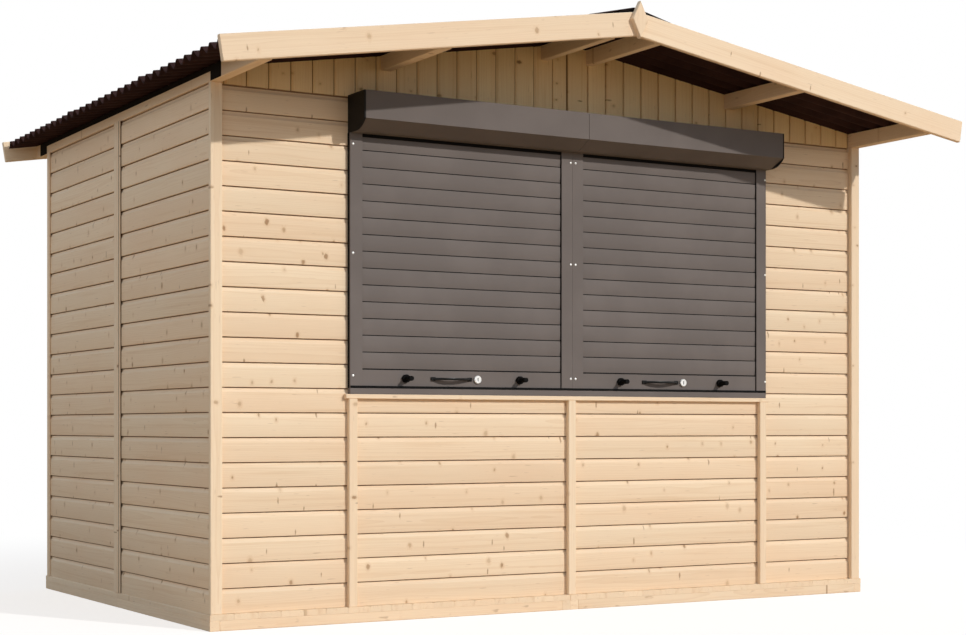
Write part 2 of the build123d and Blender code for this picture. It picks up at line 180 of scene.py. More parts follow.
# Rings and knots of the wood; a spike is a knot sawn along its length, and sizes are spread and least
BOARD_SHIFT = 91.3
BOARD_MIDDLE = 0.044
PITH_ASIDE = (0.11, -0.08)
PITH_BEHIND = (0.07, 0.012)
RING_WIDTH = 0.0042
RING_SWAY = 0.05
RING_WOBBLE = 1.6
KNOT_STRETCH = (1.25, 0.9)
KNOT_SPACING = 0.105
KNOT_SIZES = (0.0066, 0.0032)
KNOT_RAGGED = 0.0096
KNOT_SOFT_OUTSIDE = 0.0034
KNOT_SOFT_INSIDE = 0.0036
KNOT_REACH = 0.013
KNOT_BENDS_RINGS = 0.007
KNOT_DARKNESS = (0.52, 0.22)
SPIKE_STRETCH = (2.3, 0.62)
SPIKE_SPACING = 0.115
SPIKE_SIZES = (0.0050, 0.0044)
SPIKE_DARKNESS = 0.62
SPIKES_PER_KNOT = 0.26
GRAIN_HEIGHT = 0.00035

# The photograph's camera: level, its image moved up without tilting it
IMAGE_WIDTH = 966
FOCAL_PIXELS = 1786.3
HORIZON_BELOW_MIDDLE = 108.5
CAMERA_PLACE = (-3.796, -6.7785, 0.713)
CAMERA_TURN = 30.34
SENSOR_WIDTH = 36

# Light
SUN_FROM = Vector((0.460, -1.0, 0.539))
SUN_STRENGTH = 2.16
SUN_ANGLE = 1.2
SUN_COLOUR = (1.0, 0.985, 0.96)
SKY_COLOUR = (0.56, 0.66, 0.78, 1)
SKY_LOW = 1.3
SKY_HIGH = 0.4
FLOOR_BOUNCE = (0.55, 0.38, 0.22, 1)
FLOOR_SEEN = (0.45, 0.45, 0.45, 1)
FLOOR_LIFT = (0.71, 0.68, 0.65, 1)
FLOOR_FADE = (1.5, 5.0)


# Shader helpers
class Shader:
    """Node tree of one material, with short calls for the nodes it needs."""

    def __init__(self, name):
        self.material = bpy.data.materials.new(name)
        self.material.use_nodes = True
        self.tree = self.material.node_tree
        self.surface = self.tree.nodes["Principled BSDF"]

    def node(self, kind, **settings):
        """New node with its properties set."""
        made = self.tree.nodes.new(kind)
        for key, value in settings.items():
            setattr(made, key, value)
        return made

    def feed(self, value, socket):
        """Sets a socket to a number or colour, or links it to another socket."""
        if isinstance(value, bpy.types.NodeSocket):
            self.tree.links.new(value, socket)
        else:
            socket.default_value = value

    def attribute(self, name, output):
        """Attribute of the mesh."""
        return self.node("ShaderNodeAttribute", attribute_name=name).outputs[output]

    def math(self, operation, *values, clamp=False):
        """Math node over numbers or sockets."""
        made = self.node("ShaderNodeMath", operation=operation, use_clamp=clamp)
        for value, socket in zip(values, made.inputs):
            self.feed(value, socket)
        return made.outputs[0]

    def vector(self, x, y, z=0):
        """Vector put together from numbers or sockets."""
        made = self.node("ShaderNodeCombineXYZ")
        for value, socket in zip((x, y, z), made.inputs):
            self.feed(value, socket)
        return made.outputs[0]

    def stretched(self, place, *factors):
        """Vector of the parts of a place, each times its factor."""
        return self.vector(*(self.math("MULTIPLY", part, factor) for part, factor in zip(place, factors)))

    def drawn(self, tone, factor):
        """Another number from 0 to 1 for the same board, which looks random."""
        return self.math("FRACT", self.math("MULTIPLY", tone, factor))

    def noise(self, vector, scale=1.0, detail=2.0, rough=0.5):
        """Value of a 3-D noise, around one half."""
        made = self.node("ShaderNodeTexNoise", noise_dimensions="3D")
        self.feed(vector, made.inputs["Vector"])
        made.inputs["Scale"].default_value = scale
        made.inputs["Detail"].default_value = detail
        made.inputs["Roughness"].default_value = rough
        return made.outputs["Fac"]

    def ramp(self, value, low, high):
        """0 at low, 1 at high, eased and clamped."""
        made = self.node("ShaderNodeMapRange", interpolation_type="SMOOTHSTEP")
        self.feed(value, made.inputs["Value"])
        self.feed(low, made.inputs["From Min"])
        self.feed(high, made.inputs["From Max"])
        return made.outputs["Result"]

    def mix(self, factor, first, second, blend="MIX"):
        """Mix of two colours."""
        made = self.node("ShaderNodeMix", data_type="RGBA", blend_type=blend)
        self.feed(factor, made.inputs["Factor"])
        self.feed(first, made.inputs[6])
        self.feed(second, made.inputs[7])
        return made.outputs[2]

    def bump(self, height, distance, strength=1.0):
        """Bump whose full height is distance, in metres."""
        made = self.node("ShaderNodeBump")
        made.inputs["Strength"].default_value = strength
        made.inputs["Distance"].default_value = distance
        self.feed(height, made.inputs["Height"])
        self.feed(made.outputs["Normal"], self.surface.inputs["Normal"])


def colour(red, green, blue):
    """Linear colour of an sRGB one given from 0 to 255."""
    parts = [c / 255 for c in (red, green, blue)]
    linear = [c / 12.92 if c <= 0.04045 else ((c + 0.055) / 1.055) ** 2.4 for c in parts]
    return (*linear, 1)


# Materials
def knots(s, face, ragged, stretch, spacing, share, sizes):
    """Knots of one kind: how much of each point is knot, how much is near one, and the knot's darkness."""
    cells = s.node("ShaderNodeTexVoronoi", voronoi_dimensions="2D")
    s.feed(s.stretched(face, *stretch), cells.inputs["Vector"])
    cells.inputs["Scale"].default_value = 1 / spacing
    chance = s.node("ShaderNodeSeparateColor")
    s.feed(cells.outputs["Color"], chance.inputs[0])
    distance = s.math("MULTIPLY", cells.outputs["Distance"], spacing)
    distance = s.math("ADD", distance, s.math("MULTIPLY_ADD", ragged, KNOT_RAGGED, -KNOT_RAGGED / 2))
    present = s.math("LESS_THAN", chance.outputs[0], share)
    radius = s.math("MULTIPLY_ADD", s.math("POWER", chance.outputs[1], 1.6), *sizes)
    edge = s.math("ADD", radius, KNOT_SOFT_OUTSIDE), s.math("SUBTRACT", radius, KNOT_SOFT_INSIDE)
    core = s.math("MULTIPLY", s.ramp(distance, *edge), present)
    around = s.math("MULTIPLY", s.ramp(distance, s.math("ADD", radius, KNOT_REACH), radius), present)
    return core, around, s.math("POWER", chance.outputs[2], 1.5)


def wood(name, pale, ruddy, late, knot, knot_share):
    """Softwood that reads each point's place in its board: rings, fibres, streaks and knots, and painted
    shade on the floors of the grooves.
    """
    s = Shader(name)
    parted = s.node("ShaderNodeSeparateXYZ")
    s.feed(s.attribute("grain", "Vector"), parted.inputs[0])
    along, across, depth = parted.outputs
    board = s.attribute("board", "Fac")
    shifted = s.math("ADD", across, s.math("MULTIPLY", board, BOARD_SHIFT))
    face = (along, shifted)
    body = (along, shifted, depth)

    # Knots: cells on the face of the board, most of them left empty, and spikes that lie across it
    ragged = s.noise(s.stretched(face, 90, 90))
    core, around, strength = knots(s, face, ragged, KNOT_STRETCH, KNOT_SPACING, knot_share, KNOT_SIZES)
    spike_share = knot_share * SPIKES_PER_KNOT
    spike, _, _ = knots(s, face, ragged, SPIKE_STRETCH, SPIKE_SPACING, spike_share, SPIKE_SIZES)

    # Rings round a pith behind the board, pushed aside by the knots
    sway = s.noise(s.stretched(body, 1.1, 7, 1), detail=1.0)
    side = s.math("MULTIPLY_ADD", sway, RING_SWAY, s.math("SUBTRACT", across, BOARD_MIDDLE))
    side = s.math("ADD", side, s.math("MULTIPLY_ADD", s.drawn(board, 7.3), *PITH_ASIDE))
    behind = s.math("SUBTRACT", depth, s.math("MULTIPLY_ADD", s.drawn(board, 3.7), *PITH_BEHIND))
    squares = s.math("ADD", s.math("MULTIPLY", side, side), s.math("MULTIPLY", behind, behind))
    from_pith = s.math("ADD", s.math("SQRT", squares), s.math("MULTIPLY", around, KNOT_BENDS_RINGS))
    wobble = s.noise(s.stretched((along, from_pith, board), 3, 120, 1))
    turns = s.math("MULTIPLY_ADD", from_pith, 1 / RING_WIDTH, s.math("MULTIPLY", wobble, RING_WOBBLE))
    ring = s.math("POWER", s.math("FRACT", turns), 3.0)

    # Fibres, long streaks, blotches and flecks
    fibre = s.noise(s.stretched(body, 9, 620, 620), detail=3.0, rough=0.6)
    streak = s.noise(s.stretched(body, 1.3, 55, 30), detail=3.0, rough=0.55)
    blotch = s.noise(s.stretched(face, 2.2, 6), detail=1.0)
    fleck = s.ramp(s.noise(s.stretched(body, 17, 240, 50), detail=1.0), 0.70, 0.80)

    # Colours, from the clear wood to the knots, and painted shade on the floors of the grooves
    toned = s.math("MULTIPLY", s.drawn(board, 17.9), 0.5)
    blotched = s.math("MULTIPLY", s.ramp(blotch, 0.4, 0.75), 0.4)
    shade = s.mix(s.math("ADD", toned, blotched, clamp=True), pale, ruddy)
    shade = s.mix(s.math("MULTIPLY", ring, 0.26), shade, late)
    shade = s.mix(s.math("MULTIPLY", s.ramp(streak, 0.50, 0.80), 0.36), shade, late)
    light = s.math("MULTIPLY_ADD", fibre, 0.10, 0.95)
    light = s.math("MULTIPLY", light, s.math("MULTIPLY_ADD", s.drawn(board, 29.3), 0.06, 0.96))
    shade = s.mix(1.0, shade, s.vector(light, light, light), blend="MULTIPLY")
    shade = s.mix(s.math("MULTIPLY", fleck, 0.35), shade, knot)
    shade = s.mix(s.math("MULTIPLY", around, 0.30), shade, late)
    shade = s.mix(s.math("MULTIPLY", core, s.math("MULTIPLY_ADD", strength, *KNOT_DARKNESS)), shade, knot)
    shade = s.mix(s.math("MULTIPLY", spike, SPIKE_DARKNESS), shade, knot)
    # painted shade: the floors of the grooves are darkened towards brown, standing in for the shade that
    # lies in them
    shade = s.mix(s.math("MULTIPLY", s.attribute("painted_groove_shade", "Fac"), 0.8), shade, colour(116, 72, 32))
    s.feed(shade, s.surface.inputs["Base Color"])
    s.surface.inputs["Roughness"].default_value = 0.62
    s.surface.inputs["Specular IOR Level"].default_value = 0.25
    s.bump(s.math("ADD", s.math("MULTIPLY", ring, 0.5), fibre), GRAIN_HEIGHT, 0.6)
    return s.material


def bitumen():
    """Matt bitumen sheet with a fibrous skin."""
    s = Shader("bitumen_sheet")
    place = s.node("ShaderNodeTexCoord").outputs["Object"]
    grit = s.noise(place, scale=900, detail=2.0)
    cloud = s.noise(place, scale=9, detail=3.0)
    shade = s.mix(s.ramp(cloud, 0.3, 0.7), colour(50, 31, 30), colour(64, 42, 39))
    shade = s.mix(s.math("MULTIPLY", grit, 0.35), shade, colour(34, 22, 21))
    s.feed(shade, s.surface.inputs["Base Color"])
    s.surface.inputs["Roughness"].default_value = 0.85
    s.surface.inputs["Specular IOR Level"].default_value = 0.1
    s.bump(grit, 0.0006, 0.7)
    return s.material


def coated_metal(name, base, roughness):
    """Coil-coated sheet: an even colour with a trace of dust."""
    s = Shader(name)
    place = s.node("ShaderNodeTexCoord").outputs["Object"]
    cloud = s.noise(place, scale=5, detail=3.0)
    darker = tuple(c * 0.9 for c in base[:3]) + (1,)
    s.feed(s.mix(s.ramp(cloud, 0.35, 0.7), darker, base), s.surface.inputs["Base Color"])
    s.surface.inputs["Roughness"].default_value = roughness
    s.surface.inputs["Specular IOR Level"].default_value = 0.04
    s.bump(s.noise(place, scale=1400, detail=1.0), 0.00008, 0.3)
    return s.material


def moulded(name, base, roughness, gloss=0.15):
    """Moulded plastic or rubber with a fine grain."""
    s = Shader(name)
    place = s.node("ShaderNodeTexCoord").outputs["Object"]
    grit = s.noise(place, scale=1500, detail=1.0)
    s.feed(s.mix(grit, base, tuple(c * 1.25 for c in base[:3]) + (1,)), s.surface.inputs["Base Color"])
    s.surface.inputs["Roughness"].default_value = roughness
    s.surface.inputs["Specular IOR Level"].default_value = gloss
    s.bump(grit, 0.0001, 0.4)
    return s.material


def bare_metal(name, base, roughness):
    """Nickel or zinc, satin."""
    s = Shader(name)
    place = s.node("ShaderNodeTexCoord").outputs["Object"]
    grit = s.noise(place, scale=700, detail=2.0)
    s.feed(s.mix(grit, base, tuple(c * 0.85 for c in base[:3]) + (1,)), s.surface.inputs["Base Color"])
    s.surface.inputs["Metallic"].default_value = 0.35
    s.surface.inputs["Roughness"].default_value = roughness
    return s.material


SPRUCE = wood(
    "spruce", pale=colour(242, 218, 186), ruddy=colour(239, 208, 174), late=colour(217, 178, 134),
    knot=colour(142, 98, 56), knot_share=0.36,
)
# painted light: a warmer, more golden copy of the spruce for the front gable, standing in for the warm
# light it gets in the roof's shade
GABLE_PAINTED_WARM_LIGHT = wood(
    "spruce_painted_warm_light", pale=colour(252, 222, 170), ruddy=colour(249, 211, 158), late=colour(222, 174, 112),
    knot=colour(120, 74, 36), knot_share=0.42,
)
FLOOR_WOOD = wood(
    "floor_timber", pale=colour(242, 218, 186), ruddy=colour(238, 208, 173), late=colour(214, 174, 130),
    knot=colour(142, 98, 56), knot_share=0.2,
)
BITUMEN = bitumen()
PAINTED = coated_metal("shutter_metal", colour(117, 108, 103), 0.5)
BLACK = moulded("black_plastic", colour(24, 23, 23), 0.5)
POLISHED = moulded("handle_plastic", colour(9, 8, 8), 0.3, gloss=0.25)
RUBBER = moulded("stop_rubber", colour(12, 11, 11), 0.7, gloss=0.08)
NICKEL = bare_metal("lock_metal", colour(244, 243, 240), 0.35)
# painted shade: near black for the gaps between slats, the key slots and the strips beside the shutters'
# parts, and the black of the seals and brushes
DARK = moulded("black_seal_and_painted_shade", colour(12, 11, 11), 0.8)
# painted shade: dark brown of the blocks in and beside the side strips' gap
PAINTED_GAP_SHADE = moulded("painted_strip_shade", colour(70, 46, 26), 0.9)
BLACK_MATT = moulded("black_matt", colour(19, 14, 12), 0.95)


# Timber
class Timber:
    """Boards of one piece, gathered into a single mesh whose points know their place in the wood."""

    def __init__(self, name, seed):
        self.name = name
        self.chance = random.Random(seed)
        self.points = []
        self.faces = []
        self.grain = []
        self.board = []
        self.painted_groove_shade = []

    def add(self, origin, along, across, outward, rings):
        """One board, from rings of (along, across, outward) points in metres from its origin."""
        start = self.chance.uniform(0, 40)
        tone = self.chance.random()
        first = len(self.points)
        size = len(rings[0])
        for ring in rings:
            for u, v, w in ring:
                self.points.append(origin + along * u + across * v + outward * w)
                self.grain.append((u + start, v, w))
                self.board.append(tone)
                # painted shade: points on a groove's floor are marked for the darkened colour that stands
                # in for their shade
                self.painted_groove_shade.append(1.0 if abs(w + GROOVE_DEPTH) < SAME_PLACE else 0.0)
        for n in range(len(rings) - 1):
            low = first + n * size
            for i in range(size):
                j = (i + 1) % size
                self.faces.append((low + i, low + j, low + size + j, low + size + i))
        self.faces.append(tuple(range(first + size - 1, first - 1, -1)))
        last = first + (len(rings) - 1) * size
        self.faces.append(tuple(range(last, last + size)))

    def bar(self, low, high):
        """Rectangular timber between two corners, its arrises eased, the grain along its longest side."""
        size = high - low
        grain_axis = max(range(3), key=lambda n: size[n])
        axes = (RIGHT, BACK, UP)
        order = (grain_axis, (grain_axis + 1) % 3, (grain_axis + 2) % 3)
        length, width, depth = (size[n] for n in order)
        ease = min(STRIP_ARRIS, width / 4, depth / 4)
        inset = ease * STRIP_END
        full = eased_rectangle(width, depth, ease, 0)
        inner = eased_rectangle(width, depth, ease, inset)
        stations = ((0, inner), (inset, full), (length - inset, full), (length, inner))
        rings = [[(u, v, w) for v, w in outline] for u, outline in stations]
        self.add(low, axes[order[0]], axes[order[1]], axes[order[2]], rings)

    def run(self, origin, along, across, outward, section, length, slant=0):
        """Board of one section, as long as length and shorter by slant times v."""
        foot = [(0, v, w) for v, w in section]
        head = [(length - slant * v, v, w) for v, w in section]
        self.add(origin, along, across, outward, [foot, head])

    def build(self, slot="spruce", material=None, nodes=()):
        """Turns what was gathered into an object that stands for the given CAD nodes."""
        mesh = bpy.data.meshes.new(self.name)
        mesh.from_pydata([tuple(p) for p in self.points], [], self.faces)
        grain = mesh.attributes.new("grain", "FLOAT_VECTOR", "POINT")
        grain.data.foreach_set("vector", [c for point in self.grain for c in point])
        board = mesh.attributes.new("board", "FLOAT", "POINT")
        board.data.foreach_set("value", self.board)
        painted_groove_shade = mesh.attributes.new("painted_groove_shade", "FLOAT", "POINT")
        painted_groove_shade.data.foreach_set("value", self.painted_groove_shade)
        face_outwards(mesh)
        return place(self.name, mesh, slot, material or SPRUCE, nodes)


def eased_rectangle(width, depth, ease, inset):
    """Rectangle with cut corners, drawn in all round by inset."""
    a, b = inset, inset + ease
    right, top = width - inset, depth - inset
    return [
        (b, a), (right - ease, a), (right, b), (right, top - ease),
        (right - ease, top), (b, top), (a, top - ease), (a, b),
    ]


def face_outwards(mesh, smooth_angle=32):
    """Makes all faces look outwards and shades the coves and rounds smooth."""
    work = bmesh.new()
    work.from_mesh(mesh)
    bmesh.ops.recalc_face_normals(work, faces=work.faces)
    work.to_mesh(mesh)
    work.free()
    mesh.polygons.foreach_set("use_smooth", [True] * len(mesh.polygons))
    mesh.set_sharp_from_angle(angle=math.radians(smooth_angle))


def place(name, mesh, slot, material, nodes=()):
    """Puts a finished mesh on the shed's one body, in a material slot, for the CAD nodes it replaces; the
    slot argument is not used.
    """
    piece = bpy.data.objects.new(name, mesh)
    bpy.context.scene.collection.objects.link(piece)
    mesh.materials.append(material)
    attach(piece, "root")
    if nodes:
        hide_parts(*nodes)
    return piece


def solids(node):
    """Lowest and highest corner of every separate solid of a CAD node."""
    mesh = frame["nodes"][node].data
    known = {}
    keys = [known.setdefault(tuple(round(c, 5) for c in v.co), len(known)) for v in mesh.vertices]
    group = list(range(len(known)))

    def leader(i):
        while group[i] != i:
            group[i] = group[group[i]]
            i = group[i]
        return i

    for edge in mesh.edges:
        a, b = (leader(keys[v]) for v in edge.vertices)
        group[a] = b
    boxes = {}
    for vertex, key in zip(mesh.vertices, keys):
        low, high = boxes.setdefault(leader(key), (vertex.co.copy(), vertex.co.copy()))
        for n in range(3):
            low[n] = min(low[n], vertex.co[n])
            high[n] = max(high[n], vertex.co[n])
    return sorted(boxes.values(), key=lambda box: tuple(box[0]))


# Boarding
def cove(flat, cover, depth):
    """Points of the hollow between a board's flat face and its upper edge, from the face inwards."""
    points = []
    for n in range(1, COVE_STEPS + 1):
        t = n / COVE_STEPS
        points.append((flat + (cover - flat) * t, -depth * math.sin(t * math.pi / 2)))
    return points


def board_section(height):
    """Section of a board: lip below, flat face, cove and tongue above; a cut board ends at its height."""
    back = -BOARD_THICKNESS
    knee = ARRIS * ARRIS_KNEE
    section = [(LIP_GAP, back), (LIP_GAP, -LIP_THICKNESS), (0, -LIP_THICKNESS), (0, -ARRIS)]
    section += [(knee, -knee), (ARRIS, 0)]
    if height <= BOARD_FLAT:
        return section + [(height, 0), (height, back)]
    hollow = [(BOARD_FLAT, 0)] + cove(BOARD_FLAT, COVE_TOP, COVE_DEPTH)
    section += [(v, w) for v, w in hollow if v <= height]
    if height < BOARD_COVER:
        return section + [(height, back)]
    groove = [(COVE_TOP + GROOVE_SLANT, -GROOVE_DEPTH), (height, -GROOVE_DEPTH)]
    return section + groove + [(height, back)]


def horizontal_boards(timber, low, high, outward):
    """Boards across the outer face of a panel, from its foot up."""
    across_y = abs(outward.y) > 0.5
    along = RIGHT if across_y else BACK
    length = (high.x - low.x) if across_y else (high.y - low.y)
    corner = low.copy()
    if outward.x > 0:
        corner.x = high.x
    if outward.y > 0:
        corner.y = high.y
    rise = high.z - low.z
    for n in range(math.ceil(rise / BOARD_COVER)):
        foot = n * BOARD_COVER
        left = rise - foot
        if left < LEAST_BOARD:
            break
        height = min(left, BOARD_COVER + LAP)
        origin = corner + UP * foot - outward * timber.chance.uniform(0, BOARD_PLAY)
        timber.run(origin, along, UP, outward, board_section(height), length)
        if height == left:
            break


def wall(name, outward, seed):
    """Boarding of one wall, a panel for every solid of its node."""
    timber = Timber(name + "_boards", seed)
    for low, high in solids(name):
        horizontal_boards(timber, low, high, outward)
    timber.build(nodes=[name])


def gable(name, outward, seed, material=None):
    """Upright boards of one gable, cut along the roof."""
    timber = Timber(name + "_boards", seed)
    slope = math.tan(ROOF_PITCH)
    for low, high in solids(name):
        right_half = low.x > 0
        inner = low.x if right_half else -high.x
        outer = high.x if right_half else -low.x
        side = 1 if right_half else -1
        first = GABLE_FIRST_RIGHT if right_half else GABLE_FIRST_LEFT
        joints = [inner, first]
        while joints[-1] + GABLE_COVER < outer - GABLE_LEAST:
            joints.append(joints[-1] + GABLE_COVER)
        joints.append(outer)
        face_y = low.y if outward.y < 0 else high.y
        rise = high.z - low.z
        for a, b in zip(joints, joints[1:]):
            section = gable_section(b - a, a == inner)
            origin = Vector((side * a, face_y, low.z))
            timber.run(origin, UP, RIGHT * side, outward, section, rise - slope * (a - inner), slope)
    timber.build(material=material, nodes=[name])


def gable_section(width, first):
    """Section of an upright board: a groove at its far edge, and at both edges of a gable's first board."""
    back = -BOARD_THICKNESS
    knee = ARRIS * ARRIS_KNEE
    flat = width - GABLE_COVE
    slot = width - GABLE_GROOVE
    far = width - GABLE_CLEARANCE
    start = GABLE_MIDDLE / 2 if first else 0
    section = [(0, back)]
    if first:
        section += [(0, -GROOVE_DEPTH), (start - GROOVE_SLANT, -GROOVE_DEPTH)]
    section += [(start, -ARRIS), (start + knee, -knee), (start + ARRIS, 0), (flat, 0)]
    section += cove(flat, slot, GABLE_COVE_DEPTH)
    return section + [(slot + GROOVE_SLANT, -GROOVE_DEPTH), (far, -GROOVE_DEPTH), (far, back)]


def deck():
    """Floor boards that run from front to back in each module."""
    timber = Timber("floor_deck_boards", 71)
    for low, high in solids("floor_deck"):
        right_half = low.x > 0 or high.x > 0.1
        inner = low.x if right_half else -high.x
        outer = high.x if right_half else -low.x
        side = 1 if right_half else -1
        thick = high.z - low.z
        edges = [outer]
        while edges[-1] - DECK_COVER * DECK_LAST_SHARE > inner:
            edges.append(edges[-1] - (DECK_OUTERMOST if len(edges) == 1 else DECK_COVER))
        edges.append(inner)
        for a, b in zip(edges, edges[1:]):
            far = a - b - DECK_CLEARANCE
            section = [
                (DECK_CLEARANCE, -thick), (DECK_CLEARANCE, -DECK_BEVEL), (DECK_BEVEL, 0),
                (a - b - DECK_BEVEL, 0), (far, -DECK_BEVEL), (far, -thick),
            ]
            origin = Vector((side * a, low.y, high.z))
            timber.run(origin, BACK, RIGHT * -side, UP, section, high.y - low.y)
    timber.build(slot="floor_timber", material=FLOOR_WOOD, nodes=["floor_deck"])


# Straight and sloping timbers
def bars(name, nodes, seed, slot="spruce", material=None):
    """Rectangular timbers, one for every solid of the nodes."""
    timber = Timber(name, seed)
    for node in nodes:
        for low, high in solids(node):
            timber.bar(low, high)
    timber.build(slot=slot, material=material, nodes=nodes)


def ledge():
    """Wooden ledge under the windows: its lip outside, and the rail that it caps."""
    timber = Timber("window_ledge_board", 36)
    low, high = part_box("window_ledge")
    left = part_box("front_panel_left")[1]
    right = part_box("front_panel_right")[0]
    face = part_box("front_breasts")[0].y
    timber.bar(low, Vector((high.x, face, high.z)))
    timber.bar(Vector((left.x, face, low.z)), Vector((right.x, high.y, high.z)))
    timber.build(nodes=["window_ledge"])


def purlins(name, seed):
    """Purlins whose tops are planed to the pitch of the roof."""
    timber = Timber(name + "_timber", seed)
    slope = math.tan(ROOF_PITCH)
    for low, high in solids(name):
        side = 1 if low.x > 0 else -1
        inner = low.x if side > 0 else high.x
        width = high.x - low.x
        height = high.z - low.z
        ease = STRIP_ARRIS
        section = [
            (ease, 0), (width - ease, 0), (width, ease), (width, height - slope * width),
            (0, height), (0, ease),
        ]
        origin = Vector((inner, low.y, low.z))
        timber.run(origin, BACK, RIGHT * side, UP, section, high.y - low.y)
    timber.build(nodes=[name])


def barge_boards(name, seed):
    """Barge boards, cut plumb at the ridge and square at the eave."""
    timber = Timber(name + "_timber", seed)
    cos, sin = math.cos(ROOF_PITCH), math.sin(ROOF_PITCH)
    for low, high in solids(name):
        side = 1 if high.x > 0.1 else -1
        inner = low.x if side > 0 else high.x
        length = (high.x - low.x) / cos
        along = Vector((side * cos, 0, -sin))
        down = Vector((-side * sin, 0, -cos))
        thick = high.y - low.y
        origin = Vector((inner, low.y, high.z))
        outline = eased_rectangle(BARGE_WIDTH, thick, BARGE_ARRIS, 0)
        inset = BARGE_ARRIS * BARGE_END
        drawn_in = eased_rectangle(BARGE_WIDTH, thick, BARGE_ARRIS, inset)
        plumb = math.tan(ROOF_PITCH)
        rings = [
            [(v * plumb, v, w) for v, w in outline],
            [(length - inset, v, w) for v, w in outline],
            [(length, v, w) for v, w in drawn_in],
        ]
        timber.add(origin, along, down, BACK, rings)
    timber.build(nodes=[name])


def diamonds():
    """Diamond plates over the joints of the barge boards."""
    timber = Timber("diamond_plates_timber", 61)
    for low, high in solids("diamond_plates"):
        across = (high.x - low.x) / 2
        up = (high.z - low.z) / 2
        front = low.y < 0
        outward = -BACK if front else BACK
        face_y = low.y if front else high.y
        thick = high.y - low.y
        origin = Vector(((low.x + high.x) / 2, face_y, (low.z + high.z) / 2))
        rings = []
        for shrink, w in ((1, -thick), (1, -PLATE_BEVEL), (PLATE_FACE, 0)):
            corners = ((-up, 0), (0, across), (up, 0), (0, -across))
            rings.append([(u * shrink, v * shrink, w) for u, v in corners])
        timber.add(origin, UP, RIGHT, outward, rings)
    timber.build(nodes=["diamond_plates"])


# Small fittings
class Parts:
    """Small round and prismatic forms gathered into one mesh."""

    def __init__(self, name):
        self.name = name
        self.points = []
        self.faces = []

    def turned(self, origin, axis, profile, steps):
        """Form turned round an axis: profile is (distance along the axis, radius) pairs."""
        helper = UP if abs(axis.z) < 0.9 else RIGHT
        first_side = axis.cross(helper).normalized()
        second_side = axis.cross(first_side).normalized()
        first = len(self.points)
        for along, radius in profile:
            for n in range(steps):
                turn = 2 * math.pi * n / steps
                out = first_side * math.cos(turn) + second_side * math.sin(turn)
                self.points.append(origin + axis * along + out * radius)
        for ring in range(len(profile) - 1):
            low = first + ring * steps
            for n in range(steps):
                m = (n + 1) % steps
                self.faces.append((low + n, low + m, low + steps + m, low + steps + n))
        self.faces.append(tuple(range(first + steps - 1, first - 1, -1)))
        last = first + (len(profile) - 1) * steps
        self.faces.append(tuple(range(last, last + steps)))

    def prism(self, outline, shift):
        """Prism: outline is a closed row of points, moved by shift for its far end."""
        first = len(self.points)
        size = len(outline)
        self.points += list(outline) + [p + shift for p in outline]
        for i in range(size):
            j = (i + 1) % size
            self.faces.append((first + i, first + j, first + size + j, first + size + i))
        self.faces.append(tuple(range(first + size - 1, first - 1, -1)))
        self.faces.append(tuple(range(first + size, first + 2 * size)))

    def block(self, low, high):
        """Rectangular form between two corners."""
        corners = ((low.y, low.z), (high.y, low.z), (high.y, high.z), (low.y, high.z))
        self.prism([Vector((low.x, y, z)) for y, z in corners], RIGHT * (high.x - low.x))

    def build(self, slot, material, nodes=(), smooth_angle=32):
        """Turns what was gathered into an object."""
        mesh = bpy.data.meshes.new(self.name)
        mesh.from_pydata([tuple(p) for p in self.points], [], self.faces)
        face_outwards(mesh, smooth_angle)
        return place(self.name, mesh, slot, material, nodes)


def slat_outline(front, back, foot, pitch):
    """Section of one slat in Y and Z: a dark gap below, then the face, which curves back at its foot."""
    deep = front + SLAT_DEPTH
    points = [(back, foot), (deep, foot), (deep, foot + SLAT_GAP)]
    for n in range(SLAT_STEPS + 1):
        t = n / SLAT_STEPS
        setback = SLAT_SETBACK * (1 - math.sin(t * math.pi / 2))
        points.append((front + setback, foot + SLAT_GAP + SLAT_CURVE * t))
    points += [(front + setback, foot + pitch - drop) for setback, drop in SLAT_SHOULDER]
    return points + [(back, foot + pitch)]


def shutter_slats():
    """Slats of both curtains, and dark blocks in the gaps between them that stand for the hinge line and
    paint its shade.
    """
    parts, hinge_shade = Parts("shutter_slats"), Parts("slat_hinges_painted_shade")
    for low, high in solids("shutter_curtains"):
        pitch = (high.z - low.z - BAR_GAP) / SLAT_COUNT
        for n in range(SLAT_COUNT):
            foot = low.z + BAR_GAP + n * pitch
            section = slat_outline(low.y, high.y, foot, pitch)
            parts.prism([Vector((low.x, y, z)) for y, z in section], RIGHT * (high.x - low.x))
            # painted shade: a dark block deep in each gap, for the hinge line and the shade in it
            corner = Vector((low.x, low.y + HINGE_DEPTH, foot))
            hinge_shade.block(corner, Vector((high.x, low.y + SLAT_DEPTH, foot + SLAT_GAP)))
    parts.build("shutter_metal", PAINTED, ["shutter_curtains"], 40)
    hinge_shade.build("stop_rubber", DARK)


